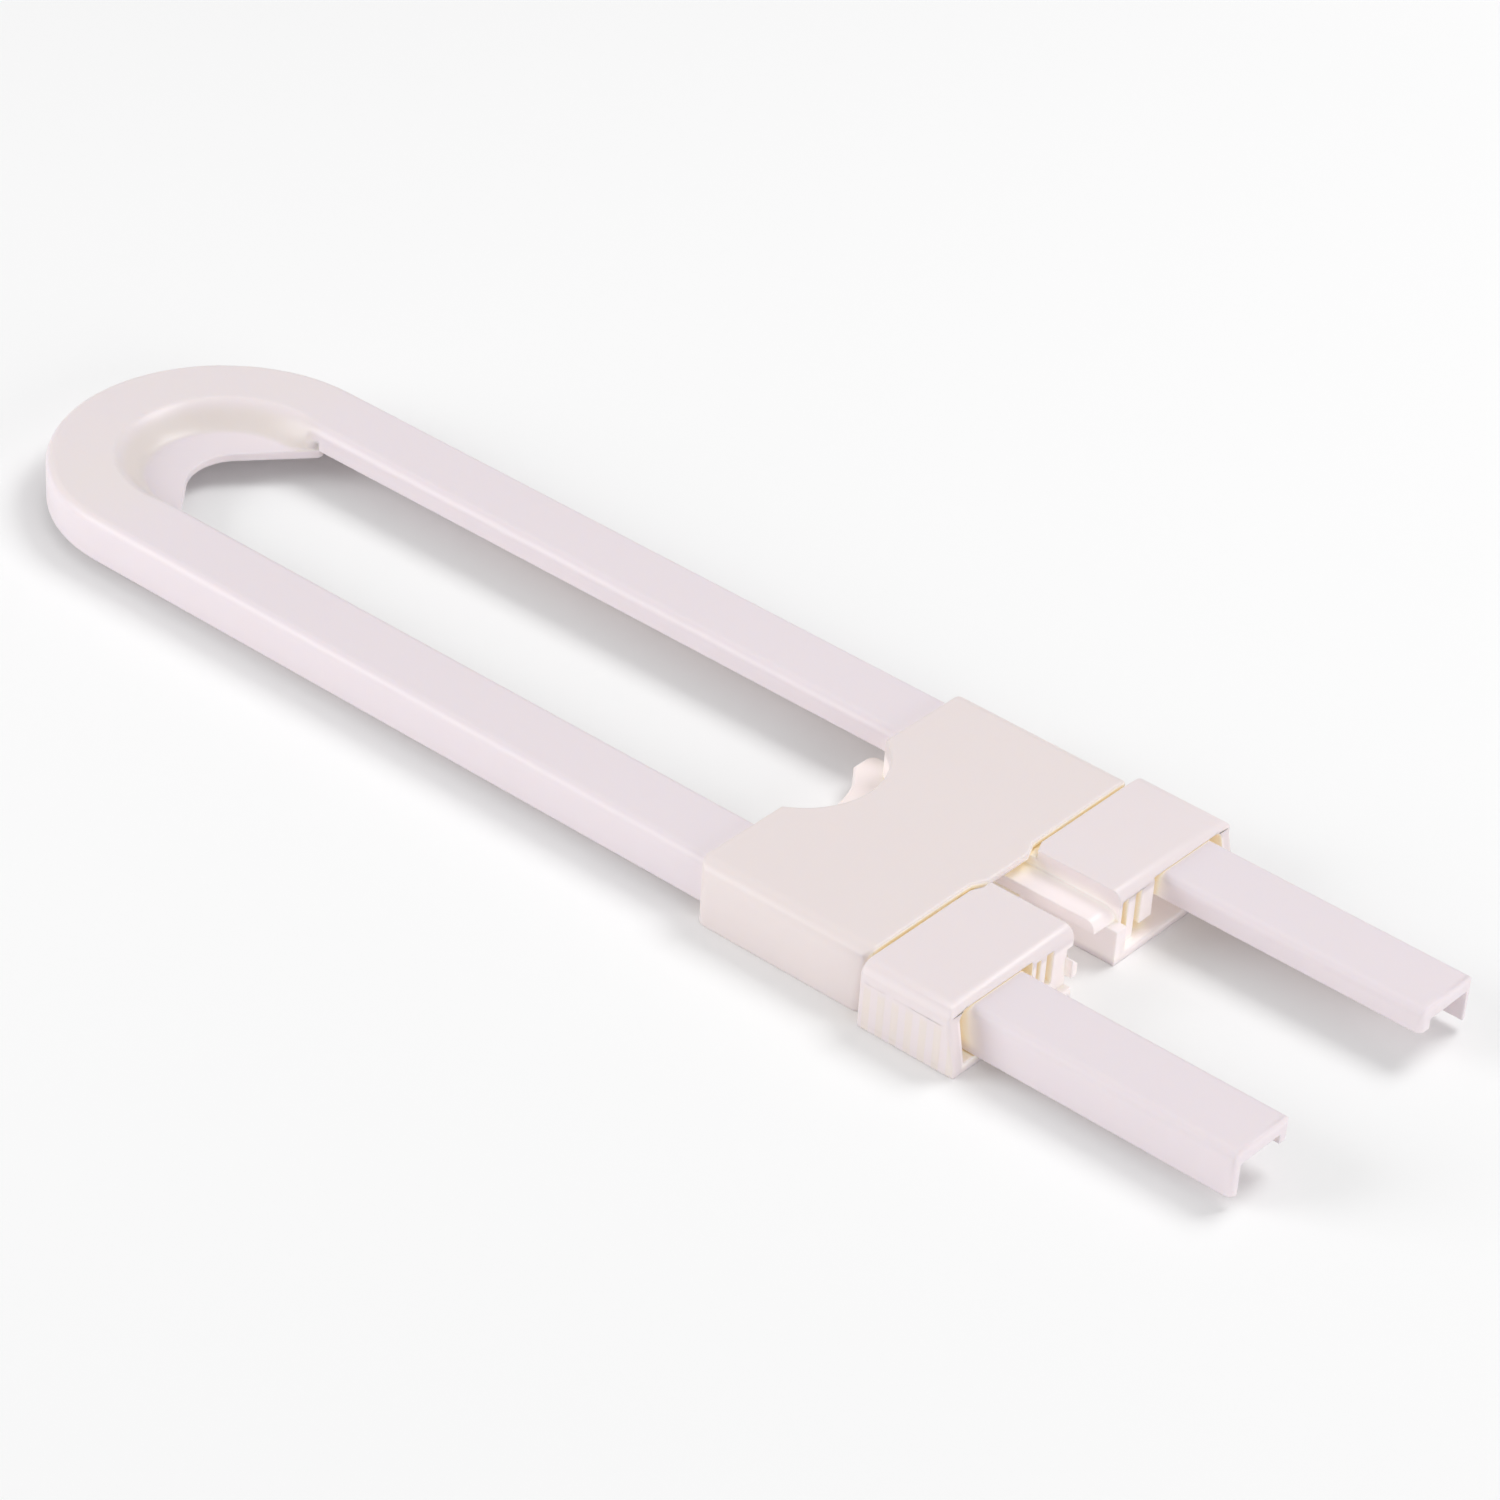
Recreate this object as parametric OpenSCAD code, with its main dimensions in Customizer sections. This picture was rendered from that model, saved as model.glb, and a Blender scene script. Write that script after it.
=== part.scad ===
// Sliding cabinet lock: a U-shaped rail, a slider that runs on its two arms, and a pair of
// sprung squeeze buttons whose pawls catch ratchet teeth moulded under the arms.
// X runs along the arms from the bend to the open ends, Y across them, Z up.
// The origin is below the middle of the rail, on the surface that the slider lies on.

/* [Rail] */
// Length of the rail, from the bend to the open ends
rail_l = 205; // [190:1:240]
// Width across both arms
rail_w = 46.8; // [44:0.1:50]
// Width of one arm
arm_w = 10.5; // [9:0.1:11]
// Height of the rail
rail_h = 6.2; // [6:0.1:8]
// Thickness of an arm's outer wall
outer_wall = 1.2; // [1:0.1:1.5]
// Thickness of an arm's top
arm_top = 1.9; // [1.5:0.1:2.1]
// Thickness of the lip along an arm's inner edge
lip_wall = 1.9; // [1.4:0.1:2.1]
// Height of that lip, from the top of the rail down
lip_h = 3.25; // [2.6:0.05:3.4]
// Radius along the top edges of the rail
rail_edge_r = 1.2; // [0.6:0.1:1.4]
// Radius of the corners at the open ends, seen from above
arm_corner_r = 1; // [0.4:0.1:1.1]
// Radius along the top edge at the open ends
arm_end_r = 0.9; // [0.4:0.1:1.2]

/* [Shelf inside the bend] */
// Thickness of the shelf
shelf_t = 1.1; // [0.8:0.1:1.6]
// Width of the shelf in the middle of the bend
shelf_w = 8.6; // [6:0.1:9]
// Radius of the shelf's edge in the middle
shelf_nose_r = 7.1; // [5:0.1:9]
// Angle between the arms and the straight ends of the shelf's edge
shelf_slant = 50; // [46:1:60]
// Height and width of the hollow corner between the shelf and the bend's lip
shelf_hollow = 1.5; // [0.5:0.1:2]
// How much further out the middle of its round lies than those
shelf_hollow_lift = 0.2; // [0.1:0.1:0.6]

/* [Ratchet] */
// Distance from one tooth to the next
tooth_pitch = 3; // [2.6:0.1:3.6]
// Depth of a tooth
tooth_depth = 1.3; // [1.1:0.05:1.35]
// Flat tip of a tooth
tooth_land = 0.5; // [0.3:0.05:0.7]
// Length of a tooth's ramp
tooth_ramp = 2; // [1.6:0.05:2.1]
// Length of the row of teeth
rack_l = 146; // [120:1:155]
// Distance from the open ends to the row of teeth
rack_margin = 2; // [1:0.5:5]
// Height of a tooth's foot above the rail's lower edge
rack_lift = 0.45; // [0.2:0.05:1]
// Teeth on each pawl
pawl_teeth = 3; // [1:1:3]
// Thickness of the pawl's block
pawl_t = 3.1; // [2:0.1:3.2]
// Distance from the slider's end of a button to its pawl's block
pawl_inset = 1.2; // [0.8:0.1:2]
// Length of the block past its last tooth
pawl_tail = 1; // [0.4:0.1:1.5]

/* [Slider] */
// Length of the slider's cover
slider_l = 26; // [25:0.1:30]
// Distance from the open ends to the cover, with the slider where the photograph has it
slider_from_ends = 51.6; // [45:0.1:60]
// Thickness of the cover's side walls
side_wall = 1.55; // [1.2:0.05:2]
// Thickness of the cover's top
cover_top = 1; // [0.8:0.1:1.6]
// Thickness of the slider's floor
floor_t = 1.4; // [1:0.05:2]
// Radius along the cover's top edges
cover_edge_r = 2.2; // [1.5:0.1:2.4]
// Radius of the cover's corners, seen from above
cover_corner_r = 1.8; // [1:0.1:2.4]
// Thickness of the guide walls between the arms and the space inside the slider
guide_wall = 1.5; // [1.2:0.1:2]
// Radius of the finger scallop in the cover
scallop_r = 11.4; // [10:0.1:12]
// Depth of that scallop
scallop_d = 5.5; // [4:0.1:6]
// Thickness of the wall behind the scallop
scallop_wall = 1.4; // [1:0.1:2]
// How far the middle of the cover stands out between the buttons
nose_reach = 1; // [0.5:0.1:1.5]
// Half the width of that middle
nose_half_w = 3.7; // [2:0.1:5]
// Length of the slope beside it, across the cover
nose_slope = 2.2; // [1:0.1:4]
// Gap that is left between that middle and a squeezed button
nose_gap = 0.2; // [0.1:0.05:0.4]

/* [Ledge] */
// How far the slider's base reaches past its cover, between the arms
ledge_reach = 3.9; // [2:0.1:5]
// Height of the ledge
ledge_h = 3.5; // [3:0.1:4]
// Length of the ledge's block
ledge_l = 11.5; // [11:0.1:12]
// Thickness of the ledge's skin around the pocket below it
ledge_skin = 1.35; // [1:0.05:1.6]
// Radius of the finger scallop in the ledge
ledge_scallop_r = 12.6; // [12:0.1:14]
// Depth of that scallop
ledge_scallop_d = 3.7; // [3:0.1:4.5]
// Radius of the ledge's corners
ledge_corner_r = 1.2; // [0.6:0.1:2]

/* [Gate that holds the buttons' feet] */
// Length of a gate post, along the arms
gate_l = 4; // [3.4:0.1:5]
// Distance from the cover's open end to the gate
gate_inset = 3.6; // [2:0.1:5]
// Share of the room between a button's block and the guide wall that a gate post takes
gate_share = 0.47; // [0.4:0.01:0.6]
// Height of the lower gate posts above the floor
gate_lower_h = 3.3; // [2.8:0.1:3.6]
// Radius of the pegs that join base and cover
peg_r = 0.8; // [0.6:0.05:0.9]
// Length of a peg
peg_l = 2.3; // [1.5:0.1:2.5]
// Radius of the round bosses beside the scallop
boss_r = 2; // [1.6:0.1:2.2]
// Distance from the cover's scalloped edge to those bosses
boss_inset = 4.1; // [3.8:0.1:5]
// How far a boss reaches into its guide wall
boss_sink = 0.4; // [0.2:0.1:0.8]

/* [Buttons] */
// Length of a button along the arms
button_l = 13.4; // [12:0.1:15]
// Gap between the slider's cover and the buttons
button_gap = 0.5; // [0.2:0.05:0.6]
// How far a button is squeezed in
button_travel = 1.6; // [1.5:0.05:1.8]
// Thickness of a button's outer wall
button_wall = 2.2; // [1.2:0.1:2.4]
// Radius along the top edge at a button's far end
button_end_r = 1.6; // [1:0.1:2.8]
// Radius along a button's bottom edge
button_foot_r = 0.5; // [0.3:0.1:0.8]
// Radius of a button's outer corners, seen from above
button_corner_r = 0.8; // [0.4:0.1:1.2]
// How far the bridge under the arm reaches past the button
bridge_reach = 1.1; // [0.4:0.1:1.6]
// Distance from the middle of the lock to a button's inner block
block_in = 5; // [4.8:0.1:5.6]
// Ribs on the outer face of a button
rib_count = 6; // [3:1:6]
// Width of a rib
rib_w = 1; // [0.6:0.1:1.2]
// Height of a rib
rib_h = 0.14; // [0.1:0.02:0.4]
// Distance from the ends of a button to its ribs
rib_inset = 1; // [0.9:0.1:1.5]
// Depth of the two slots in the end of the inner block
slot_d = 8; // [4:0.5:9]
// Where each slot starts and ends, as shares of the block's width
near_slot_shares = [[0.4, 0.6], [0.76, 0.88]];
far_slot_shares = [[0.08, 0.25], [0.46, 0.64]];
// Height of the inner slot's lower end; the outer slot is open below
slot_z = 2.9; // [2:0.1:3.2]
// Height of the slots' upper end
slot_top_z = 7.6; // [6.5:0.1:7.8]
// Height of the lower end of the wall between the outer slot and the arm
finger_z = 2.6; // [2.4:0.1:3.4]

/* [Middle of the near button] */
// Distance from the middle of the lock to the lip on its top
lip_in = 3.9; // [3:0.1:4.4]
// Thickness of that lip
near_lip_t = 2.7; // [2:0.1:3]
// Distance from the middle of the lock to the nub below it
nub_in = 4.2; // [3.6:0.1:4.6]
// Height of the nub's lower edge
nub_z = 2.8; // [2:0.1:3]
// Height of the nub's face
nub_h = 1.7; // [1:0.1:2]
// Length of the nub
nub_l = 8; // [4:0.5:10]

/* [Middle of the far button] */
// Distance from the middle of the lock to the bar
bar_in = 1; // [0.8:0.1:2.5]
// Height of the bar's top
bar_z = 6.5; // [6:0.1:7]
// Thickness of the bar
bar_t = 1.6; // [1:0.1:2]
// How far the bar runs in under the cover
bar_under = 3.6; // [1:0.1:4]
// Distance from the button's end to the bar's end
bar_inset = 0.6; // [0.3:0.1:2]
// Radius over the bar's end
bar_end_r = 1.4; // [0.5:0.1:1.5]
// Distance from the middle of the lock to the block below the bar
keel_in = 3.3; // [3:0.1:4.5]

/* [Tongues and feet of the buttons] */
// Length of the foot behind the gate
foot_l = 5.7; // [4:0.1:6.5]
// Radius of the peg that centres the return spring
seat_r = 1.7; // [1.2:0.1:1.8]
// Length of that peg
seat_l = 2; // [1:0.1:2.4]

/* [Return spring] */
// Radius of the spring, to the middle of the wire
spring_r = 2.25; // [2.1:0.05:2.5]
// Diameter of the wire
wire_d = 0.5; // [0.4:0.05:0.6]
// Curls in the spring
spring_curls = 8; // [6:1:9]

/* [Fits] */
// Gap between the arms and what slides along them, at the sides and below
glide = 0.25; // [0.1:0.05:0.3]
// Gap above the arms
top_gap = 0.15; // [0.1:0.05:0.3]
// Gap between the arm's lip and a button's inner wall
sleeve_gap = 1.2; // [0.3:0.05:1.4]
// Gap that is left where a moving piece meets its stop
stop_gap = 0.1; // [0.05:0.05:0.2]
// Gap between meshed teeth, along and across the arm
mesh_gap = 0.25; // [0.15:0.05:0.3]
// Gap between a button's foot and the gate, the floor and the ceiling
foot_gap = 0.3; // [0.2:0.05:0.4]
// Gap between the base and the cover
seam_gap = 0.1; // [0.05:0.05:0.2]
// Gap between a peg and its hole
peg_gap = 0.05; // [0.03:0.01:0.1]
// Gap between the spring and its seats
spring_gap = 0.15; // [0.1:0.05:0.3]

/* [Hidden] */
$fn = 72;
overrun = 1;
near = -1;
far = 1;
milky = [0.94, 0.92, 0.9];
milky_warm = [0.95, 0.92, 0.88];
steel = [0.72, 0.73, 0.75];

// Heights, from the surface that the slider lies on
rail_z = floor_t + glide;
rail_top_z = rail_z + rail_h;
ceiling_z = rail_top_z + top_gap;
slider_h = ceiling_z + cover_top;
channel_z = rail_top_z - arm_top;
lip_z = rail_top_z - lip_h;
seam_z = ledge_h + seam_gap;

// Places across the lock, from its middle
arm_out = rail_w / 2;
arm_in = arm_out - arm_w;
guide_out = arm_in - glide;
guide_in = guide_out - guide_wall;
side_in = arm_out + glide;
side_out = side_in + side_wall;
sleeve_in = arm_in - sleeve_gap;
sleeve_out = arm_out + stop_gap + button_travel;
button_out = sleeve_out + button_wall;

block_w = sleeve_in - block_in;
near_slots = [for (shares = near_slot_shares) [for (share = shares) block_in + share * block_w]];
far_slots = [for (shares = far_slot_shares) [for (share = shares) block_in + share * block_w]];
block_root = (block_in + far_slots[0][0]) / 2;

// Places along the lock
open_x = rail_l / 2;
bend_x = arm_out - open_x;
cover_x1 = open_x - slider_from_ends;
cover_x0 = cover_x1 - slider_l;
scallop_x = cover_x0 + scallop_d - scallop_r;
ledge_x0 = cover_x0 - ledge_reach;
ledge_scallop_x = ledge_x0 + ledge_scallop_d - ledge_scallop_r;
nose_room_x = cover_x1 + nose_reach + nose_gap;
button_x0 = cover_x1 + button_gap;
button_x1 = button_x0 + button_l;
bridge_x1 = button_x1 + bridge_reach;
gate_x1 = cover_x1 - gate_inset;
gate_x0 = gate_x1 - gate_l;
gate_in = guide_in - gate_share * (guide_in - block_in - foot_gap);
neck_out = gate_in - foot_gap;
gate_z = floor_t + gate_lower_h;
gate_mid = [(gate_x0 + gate_x1) / 2, (gate_in + guide_out) / 2, 0];
foot_x1 = gate_x0 - foot_gap;
foot_x0 = foot_x1 - foot_l;
foot_z0 = floor_t + foot_gap;
foot_z1 = ceiling_z - glide;
boss_mid = [cover_x0 + boss_inset, guide_in + boss_sink - boss_r, 0];

// Teeth: the flat faces of the rack lie a whole number of pitches from the pawl's
rack_root = arm_out - outer_wall;
rack_tip = rack_root - tooth_depth;
pawl_out = rack_tip - mesh_gap / 2;
pawl_tip = rack_root - mesh_gap;
pawl_x0 = button_x0 + pawl_inset;
pawl_x1 = pawl_x0 + pawl_teeth * tooth_pitch + pawl_tail;
first_face_x = pawl_x0 + tooth_pitch;
teeth_after = floor((open_x - rack_margin - first_face_x) / tooth_pitch);
teeth_in_rack = floor(rack_l / tooth_pitch);
rack_x0 = first_face_x + (teeth_after - teeth_in_rack) * tooth_pitch;

// The return spring, between the two feet
spring_x = (foot_x0 + foot_x1) / 2;
spring_z = (foot_z0 + foot_z1) / 2;
spring_half_l = block_in - spring_gap - wire_d / 2;
rings_per_curl = 8;
wire_sides = 6;

// Drawing planes: a flat outline is run along one axis
module run_x(x0, x1) {
    translate([x0, 0, 0]) rotate([90, 0, 90]) linear_extrude(x1 - x0) children();
}

module run_y(y0, y1) {
    translate([0, y1, 0]) rotate([90, 0, 0]) linear_extrude(y1 - y0) children();
}

module run_z(z0, z1) {
    translate([0, 0, z0]) linear_extrude(z1 - z0) children();
}

module box(x, y, z) {
    translate([x[0], y[0], z[0]]) cube([x[1] - x[0], y[1] - y[0], z[1] - z[0]]);
}

module on_side(side) {
    mirror([0, side == near ? 1 : 0, 0]) children();
}

// What a rounded corner takes off a square one, at the origin and pointing up and right
module corner_bit(r) {
    difference() {
        translate([-overrun, -overrun]) square(r + overrun);
        translate([r, r]) circle(r);
    }
}

// A rectangle between two ranges; radii go round from its lower left corner
module plate(x, y, radii = [0, 0, 0, 0]) {
    corners = [[x[0], y[0]], [x[1], y[0]], [x[1], y[1]], [x[0], y[1]]];
    difference() {
        translate(corners[0]) square([x[1] - x[0], y[1] - y[0]]);
        for (i = [0:3])
            if (radii[i] > 0)
                translate(corners[i]) rotate(90 * i) corner_bit(radii[i]);
    }
}

// Section of an arm: an upside-down channel with a low inner lip
module arm_section() {
    difference() {
        plate([arm_in, arm_out], [rail_z, rail_top_z], [0, 0, rail_edge_r, rail_edge_r]);
        translate([arm_in + lip_wall, rail_z - overrun])
            square([arm_w - lip_wall - outer_wall, rail_h - arm_top + overrun]);
        translate([arm_in - overrun, rail_z - overrun])
            square([lip_wall + 2 * overrun, rail_h - lip_h + overrun]);
    }
}

// Plan of an arm with its rounded end
module arm_plan() {
    plate([bend_x, open_x], [arm_in, arm_out], [0, arm_corner_r, arm_corner_r, 0]);
}

module arm() {
    intersection() {
        run_x(bend_x, open_x) arm_section();
        run_z(rail_z - overrun, rail_top_z + overrun) arm_plan();
        run_y(0, arm_out + overrun)
            plate([bend_x, open_x], [rail_z, rail_top_z], [0, 0, arm_end_r, 0]);
    }
}

// Row of teeth on the inner face of an arm's outer wall: flat faces towards the bend,
// ramps towards the open ends
module rack() {
    back = rack_root + outer_wall / 2;
    teeth = [for (i = [0:teeth_in_rack - 1])
        let (x = rack_x0 + i * tooth_pitch)
        each [[x, rack_root], [x, rack_tip], [x + tooth_land, rack_tip],
              [x + tooth_land + tooth_ramp, rack_root]]];
    end_x = rack_x0 + teeth_in_rack * tooth_pitch;
    run_z(rail_z + rack_lift, channel_z + arm_top / 2)
        polygon(concat([[rack_x0, back]], teeth, [[end_x, rack_root], [end_x, back]]));
}

// Opening that the shelf leaves: a blunt nose with a straight edge on each side
module shelf_opening() {
    nose_x = bend_x - arm_in + shelf_w + shelf_nose_r;
    touch = [nose_x - shelf_nose_r * sin(shelf_slant), shelf_nose_r * cos(shelf_slant)];
    tip_x = touch[0] + (arm_in + lip_wall - touch[1]) / tan(shelf_slant);
    translate([nose_x, 0]) circle(shelf_nose_r);
    polygon([[touch[0], touch[1]], [tip_x, arm_in + lip_wall], [tip_x, -arm_in - lip_wall],
             [touch[0], -touch[1]]]);
}

// Section of the hollow corner between the lip and the shelf
module shelf_corner_section() {
    reach = shelf_hollow + shelf_hollow_lift;
    difference() {
        plate([arm_in - reach, arm_in + lip_wall / 4], [lip_z - shelf_t / 2, lip_z + reach]);
        translate([arm_in - reach, lip_z + reach]) circle(norm([reach, shelf_hollow_lift]));
    }
}

module shelf() {
    tip_reach = (arm_in - shelf_nose_r * cos(shelf_slant)) / tan(shelf_slant);
    shelf_x1 = bend_x - arm_in + shelf_w + shelf_nose_r * (1 - sin(shelf_slant)) + tip_reach;
    difference() {
        union() {
            run_z(lip_z - shelf_t, lip_z) {
                translate([bend_x, 0]) circle(arm_in + lip_wall / 2);
                plate([bend_x, shelf_x1], [-arm_in - lip_wall / 2, arm_in + lip_wall / 2]);
            }
            translate([bend_x, 0, 0]) rotate([0, 0, 90])
                rotate_extrude(angle = 180) shelf_corner_section();
            for (side = [near, far])
                on_side(side) run_x(bend_x, shelf_x1) shelf_corner_section();
        }
        run_z(-overrun, rail_top_z) {
            shelf_opening();
            plate([shelf_x1, shelf_x1 + 2 * arm_in], [-arm_out, arm_out]);
        }
    }
}

module u_rail() {
    color(milky) union() {
        for (side = [near, far])
            on_side(side) {
                arm();
                rack();
            }
        translate([bend_x, 0, 0]) rotate([0, 0, 90]) rotate_extrude(angle = 180) arm_section();
        shelf();
    }
}

// Plan of the cover: a finger scallop at one end, a low nose between the buttons at the other
module cover_plan() {
    difference() {
        union() {
            plate([cover_x0, cover_x1], [-side_out, side_out],
                  [cover_corner_r, cover_corner_r, cover_corner_r, cover_corner_r]);
            polygon([[cover_x1 - cover_corner_r, -nose_half_w - nose_slope],
                     [cover_x1, -nose_half_w - nose_slope],
                     [cover_x1 + nose_reach, -nose_half_w], [cover_x1 + nose_reach, nose_half_w],
                     [cover_x1, nose_half_w + nose_slope],
                     [cover_x1 - cover_corner_r, nose_half_w + nose_slope]]);
        }
        translate([scallop_x, 0]) circle(scallop_r);
    }
}

// Space inside the cover, behind the wall of the scallop
module cavity_plan() {
    difference() {
        plate([cover_x0 + scallop_wall, cover_x1 + nose_reach + overrun], [-guide_in, guide_in]);
        translate([scallop_x, 0]) circle(scallop_r + scallop_wall);
    }
}

module cover_shell() {
    difference() {
        intersection() {
            run_x(cover_x0 - overrun, cover_x1 + nose_reach + overrun)
                plate([-side_out, side_out], [0, slider_h], [0, 0, cover_edge_r, cover_edge_r]);
            run_z(-overrun, slider_h + overrun) cover_plan();
        }
        box([cover_x0 - overrun, cover_x1 + nose_reach + overrun], [-side_in, side_in],
            [-overrun, seam_z]);
        for (side = [near, far])
            on_side(side)
                box([cover_x0 - overrun, cover_x1 + nose_reach + overrun], [guide_out, side_in],
                    [0, ceiling_z]);
        run_z(0, ceiling_z) cavity_plan();
        box([cover_x1, cover_x1 + nose_reach + overrun], [-side_in, side_in],
            [-overrun, ceiling_z]);
    }
}

module slider_cover() {
    color(milky_warm) difference() {
        union() {
            cover_shell();
            for (side = [near, far])
                on_side(side) {
                    translate(boss_mid) run_z(seam_z, ceiling_z + cover_top / 2) circle(boss_r);
                    box([gate_x0, gate_x1], [gate_in, guide_in + guide_wall / 2],
                        [gate_z + seam_gap, ceiling_z + cover_top / 2]);
                }
        }
        for (side = [near, far])
            on_side(side) {
                translate(boss_mid) run_z(0, ledge_h + peg_l + seam_gap) circle(peg_r + peg_gap);
                translate(gate_mid) run_z(0, gate_z + peg_l + seam_gap) circle(peg_r + peg_gap);
            }
    }
}

module ledge_plan() {
    difference() {
        plate([ledge_x0, ledge_x0 + ledge_l], [-guide_out, guide_out],
              [ledge_corner_r, 0, 0, ledge_corner_r]);
        translate([ledge_scallop_x, 0]) circle(ledge_scallop_r);
    }
}

// Pocket below the ledge, which keeps its skin even
module ledge_pocket_plan() {
    difference() {
        plate([ledge_x0 + ledge_skin, ledge_x0 + ledge_l - ledge_skin],
              [ledge_skin - guide_out, guide_out - ledge_skin]);
        translate([ledge_scallop_x, 0]) circle(ledge_scallop_r + ledge_skin);
    }
}

module slider_base() {
    color(milky_warm) difference() {
        union() {
            run_z(0, floor_t)
                plate([cover_x0, cover_x1], [seam_gap - side_in, side_in - seam_gap]);
            run_z(0, ledge_h) ledge_plan();
            for (side = [near, far])
                on_side(side) {
                    box([ledge_x0 + ledge_l - ledge_skin, cover_x1], [guide_in, guide_out],
                        [floor_t / 2, ledge_h]);
                    box([gate_x0, gate_x1], [gate_in, guide_in], [floor_t / 2, gate_z]);
                    translate(boss_mid) run_z(ledge_h / 2, ledge_h + peg_l) circle(peg_r);
                    translate(gate_mid) run_z(floor_t, gate_z + peg_l) circle(peg_r);
                }
        }
        run_z(-overrun, ledge_h - ledge_skin) ledge_pocket_plan();
    }
}

// Outer form of a button on the far side
module button_form() {
    body_out = button_out - rib_h;
    intersection() {
        run_x(button_x0 - overrun, bridge_x1 + overrun)
            plate([block_in, body_out], [0, slider_h], [0, button_foot_r, cover_edge_r, 0]);
        union() {
            intersection() {
                run_y(0, button_out + overrun)
                    plate([button_x0, button_x1], [0, slider_h], [0, 0, button_end_r, 0]);
                run_z(-overrun, slider_h + overrun)
                    plate([button_x0, button_x1], [0, body_out],
                          [0, 0, button_corner_r, button_corner_r]);
            }
            run_z(0, floor_t)
                plate([button_x0, bridge_x1], [0, body_out],
                      [0, 0, button_foot_r, button_corner_r]);
        }
    }
}

// Room in a button's top for the middle of the cover
module nose_room() {
    slope_y0 = nose_half_w + button_travel;
    slope_y1 = slope_y0 + (nose_room_x - button_x0) * nose_slope / nose_reach;
    run_z(ceiling_z - glide, slider_h + overrun)
        polygon([[button_x0 - overrun, 0], [nose_room_x, 0], [nose_room_x, slope_y0],
                 [button_x0, slope_y1], [button_x0 - overrun, slope_y1]]);
}

// Opening for the arm, with room for the squeeze
module sleeve_opening() {
    run_x(button_x0 - overrun, bridge_x1 + overrun)
        plate([sleeve_in, sleeve_out], [floor_t, ceiling_z], [0, 0, rail_edge_r, 0]);
}

// Two slots in the end of the inner block; below the outer one it is open to the arm
module button_slots(places) {
    x = [button_x1 - slot_d, bridge_x1 + overrun];
    box(x, places[0], [slot_z, slot_top_z]);
    box(x, places[1], [floor_t, slot_top_z]);
    box(x, [places[1][0], sleeve_in + overrun], [floor_t, finger_z]);
}

// Pawl: a block that stands on the bridge inside the arm, with teeth that fit the rack
module pawl() {
    slope = tooth_ramp / tooth_depth;
    ramp_gap = mesh_gap * (1 + slope) / 2;
    teeth = [for (i = [0:pawl_teeth - 1])
        let (face_x = pawl_x0 + (i + 1) * tooth_pitch - mesh_gap / 2,
             low_x = face_x + mesh_gap / 2 - tooth_pitch + tooth_land + ramp_gap,
             base_x = low_x + (pawl_out - rack_tip) * slope,
             tip_x = low_x + (pawl_tip - rack_tip) * slope)
        each [[base_x, pawl_out], [tip_x, pawl_tip], [face_x, pawl_tip], [face_x, pawl_out]]];
    back_y = pawl_out - pawl_t;
    run_z(floor_t / 2, channel_z - foot_gap)
        polygon(concat([[pawl_x0, back_y], [pawl_x0, pawl_out]], teeth,
                       [[pawl_x1, pawl_out], [pawl_x1, back_y]]));
}

module grip_ribs() {
    span = button_l - 2 * rib_inset - rib_w;
    run_z(cover_edge_r / 2, slider_h - cover_edge_r)
        for (i = [0:rib_count - 1])
            let (x = button_x0 + rib_inset + i * span / (rib_count - 1))
                plate([x, x + rib_w], [sleeve_out + button_wall / 2, button_out],
                      [0, 0, rib_h, rib_h]);
}

// Neck, foot and spring peg, inside the slider
module tongue() {
    box([foot_x0, button_x0 + overrun], [block_in, neck_out], [foot_z0, foot_z1]);
    box([foot_x0, foot_x1], [block_in, guide_in - stop_gap], [foot_z0, foot_z1]);
    translate([spring_x, block_in - seat_l, spring_z]) rotate([-90, 0, 0])
        cylinder(h = seat_l + (neck_out - block_in) / 2, r = seat_r);
}

module button(slots) {
    difference() {
        button_form();
        sleeve_opening();
        button_slots(slots);
        nose_room();
    }
    pawl();
    grip_ribs();
    tongue();
}

module near_middle() {
    intersection() {
        box([nose_room_x, button_x1], [lip_in, block_root], [slider_h - near_lip_t, slider_h]);
        run_y(0, button_out) plate([button_x0, button_x1], [0, slider_h], [0, 0, button_end_r, 0]);
    }
    run_x(bridge_x1 - nub_l, bridge_x1)
        polygon([[block_root, nub_z], [nub_in, nub_z], [nub_in, nub_z + nub_h],
                 [block_in, nub_z + nub_h + block_in - nub_in],
                 [block_root, nub_z + nub_h + block_in - nub_in]]);
}

module far_middle() {
    run_y(bar_in, block_root)
        plate([button_x0 - bar_under, button_x1 - bar_inset], [bar_z - bar_t, bar_z],
              [0, 0, bar_end_r, 0]);
    box([button_x0, bridge_x1], [keel_in, block_root], [0, bar_z - bar_t]);
}

module near_button() {
    color(milky) on_side(near) union() {
        button(near_slots);
        near_middle();
    }
}

module far_button() {
    color(milky) on_side(far) union() {
        button(far_slots);
        far_middle();
    }
}

// One closed tube round a list of points on a helix about the Y axis
function helix_point(t) =
    [spring_r * cos(360 * t), spring_half_l * (2 * t / spring_curls - 1), spring_r * sin(360 * t)];
function wire_ring(t) =
    let (c = helix_point(t), out = [cos(360 * t), 0, sin(360 * t)], side = [0, 1, 0])
    [for (k = [0:wire_sides - 1])
        c + wire_d / 2 * (out * cos(360 * k / wire_sides) + side * sin(360 * k / wire_sides))];
function ring_faces(j) =
    [for (k = [0:wire_sides - 1])
        let (a = j * wire_sides + k, b = j * wire_sides + (k + 1) % wire_sides)
        each [[a, a + wire_sides, b], [b, a + wire_sides, b + wire_sides]]];

spring_rings = spring_curls * rings_per_curl;
spring_curl_gap = 2 * spring_half_l / spring_curls - wire_d;
echo(least_gap_between_the_curls = spring_curl_gap);

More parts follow.
